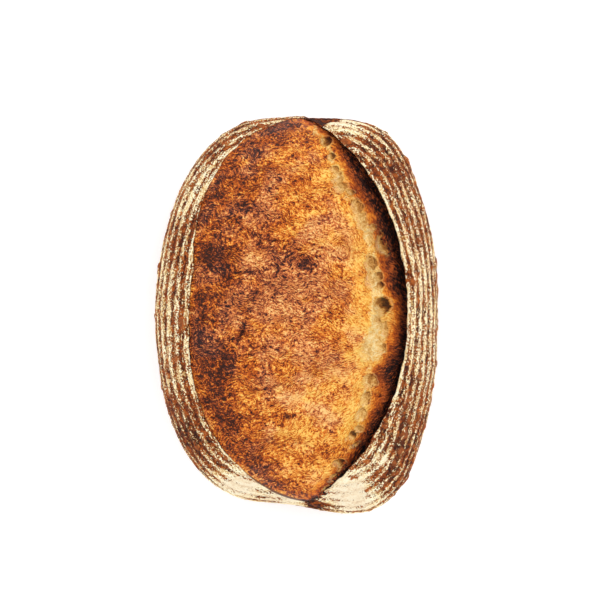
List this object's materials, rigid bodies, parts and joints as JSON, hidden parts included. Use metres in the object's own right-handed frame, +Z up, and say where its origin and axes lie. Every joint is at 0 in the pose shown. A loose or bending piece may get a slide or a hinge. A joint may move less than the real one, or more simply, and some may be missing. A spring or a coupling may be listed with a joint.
{
  "type": "sourdough loaf",
  "caption": "Whole oval sourdough loaf with a flat base, split along its length by a scored bloom whose crust lifts into an overhanging ear on one side.",
  "frame": {"origin": "middle of the flat base, at the surface that the loaf rests on", "axes": "+Z up, Y along the loaf's length with the slash's high tip at +Y, +X towards the ear"},
  "size_m": [0.17, 0.24, 0.097],
  "materials": {
    "crust": null
  },
  "bodies": {
    "root": {"loaf": "crust"}
  },
  "joints": []
}
